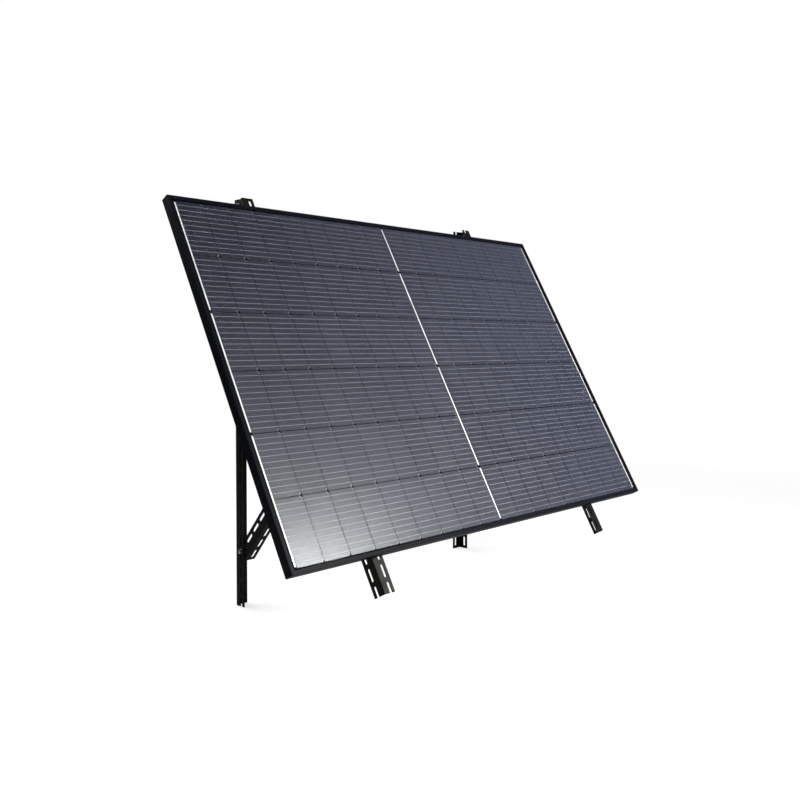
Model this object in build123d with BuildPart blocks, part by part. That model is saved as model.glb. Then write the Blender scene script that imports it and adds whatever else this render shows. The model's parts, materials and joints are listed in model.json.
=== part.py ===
from build123d import *
import os
from math import atan2, cos, degrees, radians, sin

# A photovoltaic module on a tilting wall bracket of slotted angle bars.
# Millimetres and degrees, +Z up. The wall plane is Y = 0 and the module faces -Y.
# The origin is on the wall plane, midway between the two posts, level with their lower ends.

# ---------------------------------------------------------------- module
MODULE_WIDTH = 1722.0
MODULE_HEIGHT = 1134.0
FRAME_DEPTH = 30.0
TILT = 61.0  # slope of the module above the horizontal

LIP_WIDTH = 11.5  # front lip over the edge of the glass
LIP_THICKNESS = 1.5
FRAME_WALL = 1.6
GROOVE_DEPTH = 5.6  # opening between the lip and the shelf
SHELF_WIDTH = 10.0
REAR_FLANGE = 28.0
FRAME_HOLE_RADIUS = 2.5
FRAME_HOLE_DEPTH = 15.0  # from the front face
FRAME_HOLES = [18.0, 376.0, 758.0, 1116.0]  # up the short members
EARTH_HOLE_RADIUS = 2.0
EARTH_HOLE_X = 400.0
RAIL_HOLE_RADIUS = 4.5
KEY_ARM = 38.0
KEY_CLEARANCE = 0.3

LAMINATE_EDGE = 2.6  # from the frame's outer face to the edge of the glass
GLASS_THICKNESS = 3.2
FRONT_FILM = 0.4
WIRE_THICKNESS = 0.12
CELL_THICKNESS = 0.2
REAR_FILM = 0.45
BACKSHEET = 0.3

CELL_ROWS = 6
CELL_COLUMNS = 9  # in each half of the module
CELL_WIDTH = 91.0
CELL_HEIGHT = 182.0
CELL_CORNER = 7.0
COLUMN_PITCH = 92.5
ROW_PITCH = 184.0
WIRES_PER_CELL = 10
WIRE_PITCH = 17.2
WIRE_WIDTH = 0.9
CENTRE_GAP = 10.0
BUS_WIDTH = 4.5
BUS_FROM_EDGE = 21.0
BUS_BREAK = 11.0

BOX_WIDTH = 84.0
BOX_HEIGHT = 50.0
BOX_DEPTH = 15.0
BOX_WALL = 2.0
BOX_LID = 2.0
BOX_FLOOR = 1.5
OUTLET_RADIUS = 4.4
OUTLET_BORE = 3.1
OUTLET_LENGTH = 16.0
GLAND_GRIP = 11.0
GLAND_FLATS = 5.6
GLAND_NOSE = 5.2
GLAND_BORE = 3.4

# ---------------------------------------------------------------- bracket
FLANGE = 42.0
BAR_THICKNESS = 3.0
GAUGE = 27.0  # from the bar's corner to the line of slots
SLOT_LENGTH = 37.0
SLOT_WIDTH = 9.0
SLOT_PITCH = 50.0
FIRST_SLOT = 28.0  # from the closed end of a bar to its first slot
BAR_LENGTH = 1290.0
OUTER_RADIUS = 4.0
INNER_RADIUS = 1.5
POST_CLIP = 8.0

RAIL_INSET = 298.0  # from the module's side to the rail's outer face
RAIL_OVERHANG = 102.0  # below the module's lower edge
POST_GAP = 0.5  # between a rail and its post, and between a post and its strut

PIVOT_HEIGHT = 1268.2
PIVOT_UP_MODULE = 1174.0  # up the module from its lower edge
STRUT_UP_MODULE = 423.0
FOOT_HEIGHT = 176.5  # strut's lower bolt
STRUT_LENGTH = 600.0
STRUT_END = 16.0  # from the strut's lower end to its lower bolt
STRUT_RELIEF = 44.0  # upper stretch with no inboard flange
STRUT_RELIEF_WIDTH = 20.0  # from the bolt line to the trimmed lower edge
STRUT_NOSE = 13.0

# ---------------------------------------------------------------- fasteners, M8
BOLT_RADIUS = 4.0
HEX_FLATS = 13.0
HEAD_HEIGHT = 5.3
HEAD_CHAMFER = 0.8
NUT_HEIGHT = 6.5
NUT_BORE = 4.05
WASHER_RADIUS = 8.0
WASHER_BORE = 4.3
WASHER_THICKNESS = 1.6
THREAD_END = 3.0  # thread that stands out of a nut
MODULE_THREAD_END = 13.0
FACE_GAP = 0.3  # between a washer and a bar that turns against it
RAIL_BOLTS_UP = [19.0, 1115.0]  # up the module

# ---------------------------------------------------------------- derived places
SLOPE = radians(TILT)
UP_MODULE = Vector(0, cos(SLOPE), sin(SLOPE))
OUT_OF_MODULE = Vector(0, -sin(SLOPE), cos(SLOPE))
ACROSS = Vector(1, 0, 0)
PIVOT = Vector(0, -GAUGE, PIVOT_HEIGHT)
FOOT = Vector(0, -GAUGE, FOOT_HEIGHT)
SLOT_LINE_DEPTH = FRAME_DEPTH + GAUGE  # behind the module's front face
CORNER = PIVOT - UP_MODULE * PIVOT_UP_MODULE + OUT_OF_MODULE * SLOT_LINE_DEPTH
MODULE = Plane(origin=CORNER, x_dir=ACROSS, z_dir=OUT_OF_MODULE)

RAIL_X = MODULE_WIDTH / 2 - RAIL_INSET  # outer face of a rail
POST_X = RAIL_X - BAR_THICKNESS - POST_GAP  # outer face of a post
STRUT_X = POST_X - BAR_THICKNESS - POST_GAP  # outer face of a strut

GLASS_FRONT = LIP_THICKNESS
GLASS_BACK = GLASS_FRONT + GLASS_THICKNESS
WIRE_FRONT = GLASS_BACK + FRONT_FILM
CELL_FRONT = WIRE_FRONT + WIRE_THICKNESS
CELL_BACK = CELL_FRONT + CELL_THICKNESS
SHEET_FRONT = CELL_BACK + REAR_FILM
SHEET_BACK = SHEET_FRONT + BACKSHEET
SHELF_FRONT = LIP_THICKNESS + GROOVE_DEPTH
ROW_EDGE = (MODULE_HEIGHT - (CELL_ROWS - 1) * ROW_PITCH - CELL_HEIGHT) / 2

STRUT_TOP = PIVOT - UP_MODULE * (PIVOT_UP_MODULE - STRUT_UP_MODULE)
STRUT_REACH = (STRUT_TOP - FOOT).length
ALONG_STRUT = (STRUT_TOP - FOOT).normalized()
ABOVE_STRUT = Vector(0, ALONG_STRUT.Z, -ALONG_STRUT.Y)

os.makedirs("parts", exist_ok=True)


def save(piece, name):
    """Labels a finished piece and writes it to its own STEP file."""
    piece.label = name
    export_step(piece, f"parts/{name}.step")


def in_module(x, up, depth):
    """The point at x, that far up the module and that deep behind its front face."""
    return CORNER + ACROSS * x + UP_MODULE * up - OUT_OF_MODULE * depth


def module_layer(depth):
    """The plane that lies that deep behind the module's front face."""
    return MODULE.offset(-depth)


# ================================================================ frame
def frame_profile():
    """Section of the frame: x runs inward from the outer face, y out of the front face."""
    shelf = -SHELF_FRONT
    floor = -FRAME_DEPTH + FRAME_WALL
    with BuildSketch() as profile:
        with BuildLine():
            Polyline(
                (0, 0),
                (LIP_WIDTH, 0),
                (LIP_WIDTH, -LIP_THICKNESS),
                (FRAME_WALL, -LIP_THICKNESS),
                (FRAME_WALL, shelf),
                (SHELF_WIDTH, shelf),
                (SHELF_WIDTH, floor),
                (REAR_FLANGE, floor),
                (REAR_FLANGE, -FRAME_DEPTH),
                (0, -FRAME_DEPTH),
                close=True,
            )
        make_face()
        outer_corners = profile.vertices().filter_by_position(Axis.X, -0.1, 0.1)
        fillet(outer_corners, radius=0.8)
        lip_edge = profile.vertices().filter_by_position(Axis.X, LIP_WIDTH - 0.1, LIP_WIDTH + 0.1)
        fillet(lip_edge.sort_by(Axis.Y)[-1], radius=0.5)
        with BuildLine():
            Polyline(
                (FRAME_WALL, shelf - FRAME_WALL),
                (SHELF_WIDTH - FRAME_WALL, shelf - FRAME_WALL),
                (SHELF_WIDTH - FRAME_WALL, floor),
                (FRAME_WALL, floor),
                close=True,
            )
        make_face(mode=Mode.SUBTRACT)
    return profile.sketch


def frame_member(edge, length, side_holes=(), rail_holes=(), earth_holes=()):
    """A mitred frame member. edge is at the middle of its outer front edge, x along, y inward."""
    start = edge.origin - edge.x_dir * (length / 2)
    section = Plane(origin=start, x_dir=edge.y_dir, z_dir=edge.x_dir) * frame_profile()
    with BuildPart() as member:
        extrude(section, amount=length)
        with BuildSketch(edge):
            with BuildLine():
                Polyline(
                    (-length / 2, 0),
                    (length / 2, 0),
                    (length / 2 - REAR_FLANGE, REAR_FLANGE),
                    (-length / 2 + REAR_FLANGE, REAR_FLANGE),
                    close=True,
                )
            make_face()
        extrude(amount=-FRAME_DEPTH, mode=Mode.INTERSECT)
        outer_face = Plane(origin=edge.origin, x_dir=edge.x_dir, z_dir=-edge.y_dir)
        for along in side_holes:
            with BuildSketch(outer_face):
                with Locations((along, -FRAME_HOLE_DEPTH)):
                    Circle(FRAME_HOLE_RADIUS)
            extrude(amount=-FRAME_WALL - 0.5, mode=Mode.SUBTRACT)
        for radius, places, inward in (
            (RAIL_HOLE_RADIUS, rail_holes, RAIL_BOLTS_UP[0]),
            (EARTH_HOLE_RADIUS, earth_holes, REAR_FLANGE - 9),
        ):
            for along in places:
                with BuildSketch(edge.offset(-FRAME_DEPTH)):
                    with Locations((along, inward)):
                        Circle(radius)
                extrude(amount=FRAME_WALL + 0.5, mode=Mode.SUBTRACT)
    return member.part


def edge_plane(x, up, along, inward):
    """A plane on the module's front edge, with x along the member and y inward."""
    return Plane(origin=in_module(x, up, 0), x_dir=along, z_dir=along.cross(inward))


RAIL_BOLT_X = RAIL_X - GAUGE
BOTTOM_EDGE = edge_plane(0, 0, ACROSS, UP_MODULE)
TOP_EDGE = edge_plane(0, MODULE_HEIGHT, -ACROSS, -UP_MODULE)
LEFT_EDGE = edge_plane(-MODULE_WIDTH / 2, MODULE_HEIGHT / 2, -UP_MODULE, ACROSS)
RIGHT_EDGE = edge_plane(MODULE_WIDTH / 2, MODULE_HEIGHT / 2, UP_MODULE, -ACROSS)
SIDE_HOLES = [up - MODULE_HEIGHT / 2 for up in FRAME_HOLES]
LONG_MEMBER_HOLES = [-RAIL_BOLT_X, RAIL_BOLT_X]
EARTH_HOLES = [-EARTH_HOLE_X, EARTH_HOLE_X]

save(frame_member(BOTTOM_EDGE, MODULE_WIDTH, (), LONG_MEMBER_HOLES, EARTH_HOLES), "frame_bottom")
save(frame_member(TOP_EDGE, MODULE_WIDTH, (), LONG_MEMBER_HOLES), "frame_top")
save(frame_member(LEFT_EDGE, MODULE_HEIGHT, SIDE_HOLES), "frame_left")
save(frame_member(RIGHT_EDGE, MODULE_HEIGHT, SIDE_HOLES), "frame_right")

# Corner keys: an L in each corner, pressed into the hollow chambers of the two members.
KEY_START = FRAME_WALL + KEY_CLEARANCE
KEY_WIDTH = SHELF_WIDTH - 2 * FRAME_WALL - 2 * KEY_CLEARANCE
KEY_FRONT = SHELF_FRONT + FRAME_WALL + KEY_CLEARANCE
KEY_DEPTH = FRAME_DEPTH - FRAME_WALL - KEY_CLEARANCE - KEY_FRONT
with BuildPart() as corner_keys:
    for side in (-1, 1):
        for start, inward in ((KEY_START, 1), (MODULE_HEIGHT - KEY_START, -1)):
            corner_x = side * (MODULE_WIDTH / 2 - KEY_START)
            with BuildSketch(module_layer(KEY_FRONT)):
                with Locations((corner_x - side * KEY_ARM / 2, start + inward * KEY_WIDTH / 2)):
                    Rectangle(KEY_ARM, KEY_WIDTH)
                with Locations((corner_x - side * KEY_WIDTH / 2, start + inward * KEY_ARM / 2)):
                    Rectangle(KEY_WIDTH, KEY_ARM)
            extrude(amount=-KEY_DEPTH)
save(corner_keys.part, "corner_keys")


# ================================================================ laminate
def laminate_sheet(front, thickness):
    """A full sheet of the laminate."""
    width = MODULE_WIDTH - 2 * LAMINATE_EDGE
    height = MODULE_HEIGHT - 2 * LAMINATE_EDGE
    with BuildPart() as sheet:
        with BuildSketch(module_layer(front)):
            with Locations((0, MODULE_HEIGHT / 2)):
                Rectangle(width, height)
        extrude(amount=-thickness)
    return sheet.part


save(laminate_sheet(GLASS_FRONT, GLASS_THICKNESS), "front_glass")
save(laminate_sheet(GLASS_BACK, FRONT_FILM), "front_encapsulant")
save(laminate_sheet(CELL_BACK, REAR_FILM), "rear_encapsulant")
save(laminate_sheet(SHEET_FRONT, BACKSHEET), "backsheet")

# Silicone bead that closes the groove behind the laminate.
with BuildPart() as frame_seal:
    with BuildSketch(module_layer(SHEET_BACK)):
        with Locations((0, MODULE_HEIGHT / 2)):
            Rectangle(MODULE_WIDTH - 2 * FRAME_WALL, MODULE_HEIGHT - 2 * FRAME_WALL)
            Rectangle(
                MODULE_WIDTH - 2 * SHELF_WIDTH + 1,
                MODULE_HEIGHT - 2 * SHELF_WIDTH + 1,
                mode=Mode.SUBTRACT,
            )
    extrude(amount=SHEET_BACK - SHELF_FRONT)
save(frame_seal.part, "frame_seal")

ROW_CENTRES = [ROW_EDGE + CELL_HEIGHT / 2 + row * ROW_PITCH for row in range(CELL_ROWS)]
COLUMN_CENTRES = [
    side * (CENTRE_GAP / 2 + CELL_WIDTH / 2 + column * COLUMN_PITCH)
    for side in (-1, 1)
    for column in range(CELL_COLUMNS)
]

# Half-cut cells: two corners of each half are clipped, on the side away from the cut.
with BuildPart() as solar_cells:
    with BuildSketch(module_layer(CELL_FRONT)):
        with Locations([(x, up) for x in COLUMN_CENTRES for up in ROW_CENTRES]):
            Polygon(
                (-CELL_WIDTH / 2, -CELL_HEIGHT / 2),
                (CELL_WIDTH / 2 - CELL_CORNER, -CELL_HEIGHT / 2),
                (CELL_WIDTH / 2, -CELL_HEIGHT / 2 + CELL_CORNER),
                (CELL_WIDTH / 2, CELL_HEIGHT / 2 - CELL_CORNER),
                (CELL_WIDTH / 2 - CELL_CORNER, CELL_HEIGHT / 2),
                (-CELL_WIDTH / 2, CELL_HEIGHT / 2),
            )
    extrude(amount=-CELL_THICKNESS)
save(solar_cells.part, "solar_cells")

# Wires along each half string, ten across every row, from the side ribbon to the middle one.
BUS_X = MODULE_WIDTH / 2 - BUS_FROM_EDGE
WIRE_START = BUS_WIDTH / 2
WIRE_END = BUS_X - BUS_WIDTH / 2
WIRE_OFFSETS = [(wire - (WIRES_PER_CELL - 1) / 2) * WIRE_PITCH for wire in range(WIRES_PER_CELL)]
with BuildPart() as cell_wires:
    with BuildSketch(module_layer(WIRE_FRONT)):
        for side in (-1, 1):
            middle = side * (WIRE_START + WIRE_END) / 2
            with Locations([(middle, up + wire) for up in ROW_CENTRES for wire in WIRE_OFFSETS]):
                Rectangle(WIRE_END - WIRE_START, WIRE_WIDTH)
    extrude(amount=-WIRE_THICKNESS)
save(cell_wires.part, "cell_wires")


def row_line(row):
    """How far up the module the gap under that row is, counting rows from the bottom."""
    return ROW_EDGE + row * ROW_PITCH - (ROW_PITCH - CELL_HEIGHT) / 2


# Ribbons that join the rows: pairs of rows at the sides, and staggered pairs in the middle.
SIDE_BREAKS = [row_line(0), row_line(2), row_line(4), row_line(6)]
MIDDLE_BREAKS = [row_line(0), row_line(1), row_line(3), row_line(5), row_line(6)]
with BuildPart() as bus_ribbons:
    with BuildSketch(module_layer(WIRE_FRONT)):
        for x, breaks in ((-BUS_X, SIDE_BREAKS), (0, MIDDLE_BREAKS), (BUS_X, SIDE_BREAKS)):
            for low, high in zip(breaks, breaks[1:]):
                with Locations((x, (low + high) / 2)):
                    Rectangle(BUS_WIDTH, high - low - BUS_BREAK)
    extrude(amount=-WIRE_THICKNESS - CELL_THICKNESS)
save(bus_ribbons.part, "bus_ribbons")

# ================================================================ junction boxes
BOX_PLACES = [row_line(1), row_line(3), row_line(5)]
BOX_RIM = SHEET_BACK + BOX_DEPTH - BOX_LID
CAVITY_FRONT = SHEET_BACK + BOX_FLOOR


def outlet_axis(up, side):
    """The plane at a box's side wall, centred on its cable outlet and facing out of the box."""
    depth = SHEET_BACK + (BOX_DEPTH - BOX_LID) / 2
    return Plane(origin=in_module(side * BOX_WIDTH / 2, up, depth), x_dir=UP_MODULE, z_dir=ACROSS * side)


# The lowest box has the outlet on the left and the highest the one on the right.
OUTLETS = [outlet_axis(BOX_PLACES[0], -1), outlet_axis(BOX_PLACES[2], 1)]

with BuildPart() as junction_box_bases:
    with BuildSketch(module_layer(SHEET_BACK)):
        with Locations([(0, up) for up in BOX_PLACES]):
            RectangleRounded(BOX_WIDTH, BOX_HEIGHT, 5)
    extrude(amount=-(BOX_DEPTH - BOX_LID))
    with BuildSketch(module_layer(CAVITY_FRONT)):
        with Locations([(0, up) for up in BOX_PLACES]):
            RectangleRounded(BOX_WIDTH - 2 * BOX_WALL, BOX_HEIGHT - 2 * BOX_WALL, 3)
    extrude(amount=-BOX_DEPTH, mode=Mode.SUBTRACT)
    for outlet in OUTLETS:
        with BuildSketch(outlet):
            Circle(OUTLET_RADIUS)
        extrude(amount=OUTLET_LENGTH)
        with BuildSketch(outlet.offset(-2 * BOX_WALL)):
            Circle(OUTLET_BORE)
        extrude(amount=OUTLET_LENGTH + 3 * BOX_WALL, mode=Mode.SUBTRACT)
save(junction_box_bases.part, "junction_box_bases")

with BuildPart() as junction_box_lids:
    with BuildSketch(module_layer(BOX_RIM)):
        with Locations([(0, up) for up in BOX_PLACES]):
            RectangleRounded(BOX_WIDTH, BOX_HEIGHT, 5)
    extrude(amount=-BOX_LID)
    chamfer(junction_box_lids.faces().sort_by(Axis(CORNER, -OUT_OF_MODULE))[-3:].edges(), 0.6)
    with BuildSketch(module_layer(BOX_RIM - 1.5)):
        with Locations([(0, up) for up in BOX_PLACES]):
            RectangleRounded(BOX_WIDTH - 2 * BOX_WALL - 0.6, BOX_HEIGHT - 2 * BOX_WALL - 0.6, 2.7)
            RectangleRounded(BOX_WIDTH - 4 * BOX_WALL, BOX_HEIGHT - 4 * BOX_WALL, 2, mode=Mode.SUBTRACT)
    extrude(amount=-1.5)
save(junction_box_lids.part, "junction_box_lids")

TERMINAL_WIDTH = 24.0
TERMINAL_HEIGHT = 30.0
TERMINAL_THICKNESS = 0.8
DIODE_WIDTH = 9.0
DIODE_HEIGHT = 15.0
DIODE_DEPTH = 4.5
with BuildPart() as junction_terminals:
    with BuildSketch(module_layer(CAVITY_FRONT)):
        with Locations([(side * 20, up) for up in BOX_PLACES for side in (-1, 1)]):
            Rectangle(TERMINAL_WIDTH, TERMINAL_HEIGHT)
    extrude(amount=-TERMINAL_THICKNESS)
save(junction_terminals.part, "junction_terminals")

with BuildPart() as bypass_diodes:
    with BuildSketch(module_layer(CAVITY_FRONT + TERMINAL_THICKNESS)):
        with Locations([(-20, up) for up in BOX_PLACES]):
            Rectangle(DIODE_WIDTH, DIODE_HEIGHT)
    extrude(amount=-DIODE_DEPTH)
save(bypass_diodes.part, "bypass_diodes")

# Gland rings, screwed on the two cable outlets.
with BuildPart() as cable_glands:
    for outlet in OUTLETS:
        with BuildSketch(outlet.offset(OUTLET_LENGTH - GLAND_GRIP)):
            RegularPolygon(GLAND_FLATS, 8, major_radius=False)
            Circle(OUTLET_RADIUS + 0.05, mode=Mode.SUBTRACT)
        extrude(amount=GLAND_GRIP)
        with BuildSketch(outlet.offset(OUTLET_LENGTH)):
            Circle(GLAND_NOSE)
            Circle(GLAND_BORE, mode=Mode.SUBTRACT)
        extrude(amount=BOX_WALL)
save(cable_glands.part, "cable_glands")


# ================================================================ slotted bars
def slotted_angle(start, length):
    """An angle bar from its closed end at start, along its normal, flanges along x and y."""
    slots = int((length - FIRST_SLOT) // SLOT_PITCH) + 1
    with BuildPart() as bar:
        with BuildSketch(start):
            with BuildLine():
                Polyline(
                    (0, 0),
                    (FLANGE, 0),
                    (FLANGE, BAR_THICKNESS),
                    (BAR_THICKNESS, BAR_THICKNESS),
                    (BAR_THICKNESS, FLANGE),
                    (0, FLANGE),
                    close=True,
                )
            make_face()
        extrude(amount=length)
        along_bar = bar.edges().filter_by(lambda edge: abs(edge.length - length) < 0.1)
        heel = along_bar.sort_by_distance(start.from_local_coords((0, 0, length / 2)))
        fillet(heel[0], radius=OUTER_RADIUS)
        along_bar = bar.edges().filter_by(lambda edge: abs(edge.length - length) < 0.1)
        inside = start.from_local_coords((BAR_THICKNESS, BAR_THICKNESS, length / 2))
        fillet(along_bar.sort_by_distance(inside)[0], radius=INNER_RADIUS)
        for sideways, through in ((start.x_dir, start.y_dir), (start.y_dir, start.x_dir)):
            line = Plane(origin=start.origin + sideways * GAUGE, x_dir=start.z_dir, z_dir=through)
            with BuildSketch(line):
                with Locations([(FIRST_SLOT + slot * SLOT_PITCH, 0) for slot in range(slots)]):
                    SlotOverall(SLOT_LENGTH, SLOT_WIDTH)
            extrude(amount=BAR_THICKNESS, mode=Mode.SUBTRACT)
    return bar.part


def post(side):
    """A vertical post: one flange on the wall, reaching inboard, and one towards the module."""
    inboard = ACROSS * -side
    if side < 0:
        start = Plane(origin=(side * POST_X, 0, BAR_LENGTH), x_dir=inboard, z_dir=(0, 0, -1))
    else:
        start = Plane(origin=(side * POST_X, 0, 0), x_dir=inboard, z_dir=(0, 0, 1))
    middle = side * (POST_X - BAR_THICKNESS / 2)
    clip = Plane(origin=(middle, -FLANGE, BAR_LENGTH), x_dir=(0, 1, 0), z_dir=(1, 0, 0))
    with BuildPart() as clipped:
        add(slotted_angle(start, BAR_LENGTH))
        with BuildSketch(clip):
            with BuildLine():
                Polyline((0, 0), (POST_CLIP, 0), (0, -POST_CLIP), close=True)
            make_face()
        extrude(amount=BAR_THICKNESS, both=True, mode=Mode.SUBTRACT)
    return clipped.part


def rail(side):
    """A rail up the module's back: one flange on the frame and one at the outer side."""
    x = side * RAIL_X
    back = -OUT_OF_MODULE
    if side < 0:
        top = in_module(x, BAR_LENGTH - RAIL_OVERHANG, FRAME_DEPTH)
        start = Plane(origin=top, x_dir=back, z_dir=-UP_MODULE)
    else:
        start = Plane(origin=in_module(x, -RAIL_OVERHANG, FRAME_DEPTH), x_dir=back, z_dir=UP_MODULE)
    return slotted_angle(start, BAR_LENGTH)


def strut(side):
    """A strut from the post's slot line up to the rail's, its inboard flange along the lower edge."""
    corner = FOOT - ALONG_STRUT * STRUT_END - ABOVE_STRUT * GAUGE + ACROSS * (side * STRUT_X)
    if side < 0:
        start = Plane(origin=corner, x_dir=ACROSS, z_dir=ALONG_STRUT)
    else:
        start = Plane(origin=corner, x_dir=ABOVE_STRUT, z_dir=ALONG_STRUT)
    nose = Plane(
        origin=corner + ALONG_STRUT * STRUT_LENGTH - ACROSS * (side * FLANGE),
        x_dir=ALONG_STRUT,
        z_dir=ACROSS,
    )
    relief_width = GAUGE - STRUT_RELIEF_WIDTH
    with BuildPart() as trimmed:
        add(slotted_angle(start, STRUT_LENGTH))
        with BuildSketch(nose):
            with Locations((-STRUT_RELIEF / 2 + 1, 0)):
                Rectangle(STRUT_RELIEF + 2, 2 * relief_width)
        extrude(amount=2 * FLANGE, both=True, mode=Mode.SUBTRACT)
        across_nose = trimmed.edges().filter_by(Axis.X).filter_by(
            lambda edge: (edge.center() - corner).dot(ALONG_STRUT) > STRUT_LENGTH - 0.1
        )
        fillet(across_nose, radius=STRUT_NOSE)
    return trimmed.part


SIDES = (("left", -1), ("right", 1))
for name, side in SIDES:
    save(post(side), f"post_{name}")
    save(rail(side), f"rail_{name}")
    save(strut(side), f"strut_{name}")


# ================================================================ fasteners
def facing_out(point, x, side):
    """A plane that far from the middle, level with the point, facing away from the middle."""
    return Plane(origin=point + ACROSS * (side * x), x_dir=(0, 1, 0), z_dir=ACROSS * side)


def facing_in(point, x, side):
    """A plane that far from the middle, level with the point, facing the middle."""
    return Plane(origin=point + ACROSS * (side * x), x_dir=(0, 1, 0), z_dir=ACROSS * -side)


def hexagon(seat, height):
    """A hexagon that stands on its seat, with its far edges chamfered."""
    with BuildPart() as piece:
        with BuildSketch(seat):
            RegularPolygon(HEX_FLATS / 2, 6, major_radius=False)
        extrude(amount=height)
        far = piece.faces().sort_by(Axis(seat.origin, seat.z_dir))[-1]
        chamfer(far.edges(), HEAD_CHAMFER)
    return piece.part


def shank(seat, length):
    """A plain round shank that runs back from its seat."""
    with BuildPart() as piece:
        with BuildSketch(seat):
            Circle(BOLT_RADIUS)
        extrude(amount=-length)
    return piece.part


def bolt(seat, length):
    """A hexagon bolt: its head stands on the seat and its shank runs back from it."""
    with BuildPart() as piece:
        add(hexagon(seat, HEAD_HEIGHT))
        add(shank(seat, length))
        chamfer(piece.edges().sort_by(Axis(seat.origin, seat.z_dir))[0], HEAD_CHAMFER)
    return piece.part


def nut(seat):
    """A hexagon nut that stands on its seat."""
    with BuildPart() as piece:
        add(hexagon(seat, NUT_HEIGHT))
        with BuildSketch(seat):
            Circle(NUT_BORE)
        extrude(amount=NUT_HEIGHT, mode=Mode.SUBTRACT)
    return piece.part


def washer(seat, thickness=WASHER_THICKNESS):
    """A flat washer or spacer that lies on its seat."""
    with BuildPart() as piece:
        with BuildSketch(seat):
            Circle(WASHER_RADIUS)
            Circle(WASHER_BORE, mode=Mode.SUBTRACT)
        extrude(amount=thickness)
    return piece.part


def save_group(pieces, name):
    """Writes separate pieces of one kind as one node."""
    save(Compound(children=list(pieces)), name)


RAIL_INSIDE = RAIL_X - BAR_THICKNESS
POST_INSIDE = POST_X - BAR_THICKNESS
STRUT_INSIDE = STRUT_X - BAR_THICKNESS
THREAD = NUT_HEIGHT + THREAD_END

# Tilt bolts: head outside the rail, nut inside the post. They stay with the posts.
tilt_bolts, tilt_nuts, tilt_washers = [], [], []
for name, side in SIDES:
    head_face = facing_out(PIVOT, RAIL_X + FACE_GAP, side)
    nut_face = facing_in(PIVOT, POST_INSIDE, side)
    grip = RAIL_X + FACE_GAP - POST_INSIDE + 2 * WASHER_THICKNESS
    tilt_bolts.append(bolt(head_face.offset(WASHER_THICKNESS), grip + THREAD))
    tilt_nuts.append(nut(nut_face.offset(WASHER_THICKNESS)))
    tilt_washers.append(washer(head_face))
    tilt_washers.append(washer(nut_face))
save_group(tilt_bolts, "tilt_bolts")
save_group(tilt_nuts, "tilt_nuts")
save_group(tilt_washers, "tilt_washers")

# Strut pivot bolts: through the rail, a spacer as thick as the post, and the strut's upper end.
pivot_bolts, pivot_nuts, pivot_washers, pivot_spacers = [], [], [], []
for name, side in SIDES:
    head_face = facing_out(STRUT_TOP, RAIL_X, side)
    nut_face = facing_in(STRUT_TOP, STRUT_INSIDE - FACE_GAP, side)
    grip = RAIL_X - STRUT_INSIDE + FACE_GAP + 2 * WASHER_THICKNESS
    pivot_bolts.append(bolt(head_face.offset(WASHER_THICKNESS), grip + THREAD))
    pivot_nuts.append(nut(nut_face.offset(WASHER_THICKNESS)))
    pivot_washers.append(washer(head_face))
    pivot_washers.append(washer(nut_face))
    pivot_spacers.append(washer(facing_in(STRUT_TOP, RAIL_INSIDE, side), RAIL_INSIDE - STRUT_X - FACE_GAP))
save_group(pivot_bolts, "strut_pivot_bolts")
save_group(pivot_nuts, "strut_pivot_nuts")
save_group(pivot_washers, "strut_pivot_washers")
save_group(pivot_spacers, "strut_pivot_spacers")

# Foot bolts: they join the struts to the posts and travel with the struts. The shank is left
# out where it would cross the post, so that the strut's foot can move past the post's webs.
for name, side in SIDES:
    head_face = facing_out(FOOT, POST_X + FACE_GAP, side)
    nut_face = facing_in(FOOT, STRUT_INSIDE, side)
    inner_end = facing_out(FOOT, STRUT_X + POST_GAP - FACE_GAP, side)
    inner_length = BAR_THICKNESS + POST_GAP - FACE_GAP + WASHER_THICKNESS + THREAD
    head_part = bolt(head_face.offset(WASHER_THICKNESS), WASHER_THICKNESS)
    save_group([head_part, shank(inner_end, inner_length)], f"foot_bolt_{name}")
    save_group([nut(nut_face.offset(WASHER_THICKNESS))], f"foot_nut_{name}")
    save_group([washer(head_face), washer(nut_face)], f"foot_washers_{name}")

# Module bolts: heads inside the frame, nuts behind the rails.
module_bolts, module_nuts, module_washers = [], [], []
for name, side in SIDES:
    for up in RAIL_BOLTS_UP:
        frame_inside = FRAME_DEPTH - FRAME_WALL
        rail_back = FRAME_DEPTH + BAR_THICKNESS
        head_face = Plane(
            origin=in_module(side * RAIL_BOLT_X, up, frame_inside), x_dir=ACROSS, z_dir=OUT_OF_MODULE
        )
        nut_face = Plane(
            origin=in_module(side * RAIL_BOLT_X, up, rail_back), x_dir=ACROSS, z_dir=-OUT_OF_MODULE
        )
        grip = rail_back - frame_inside + 2 * WASHER_THICKNESS
        module_bolts.append(bolt(head_face.offset(WASHER_THICKNESS), grip + NUT_HEIGHT + MODULE_THREAD_END))
        module_nuts.append(nut(nut_face.offset(WASHER_THICKNESS)))
        module_washers.append(washer(head_face))
        module_washers.append(washer(nut_face))
save_group(module_bolts, "module_bolts")
save_group(module_nuts, "module_nuts")
save_group(module_washers, "module_washers")

swing = 1 + (PIVOT_UP_MODULE - STRUT_UP_MODULE) * sin(SLOPE) / (STRUT_REACH * ALONG_STRUT.Z)
print("pivot", PIVOT)
print("strut top", STRUT_TOP)
print("foot", FOOT)
print("strut slope", degrees(atan2(ALONG_STRUT.Z, -ALONG_STRUT.Y)))
print("strut turns per turn of the module", swing)
print("module corner", CORNER)
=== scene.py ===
"""A photovoltaic module on a tilting wall bracket of slotted bars: its looks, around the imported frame."""

import json
import math

import bmesh
import bpy
import numpy as np
from mathutils import Matrix, Vector

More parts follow.
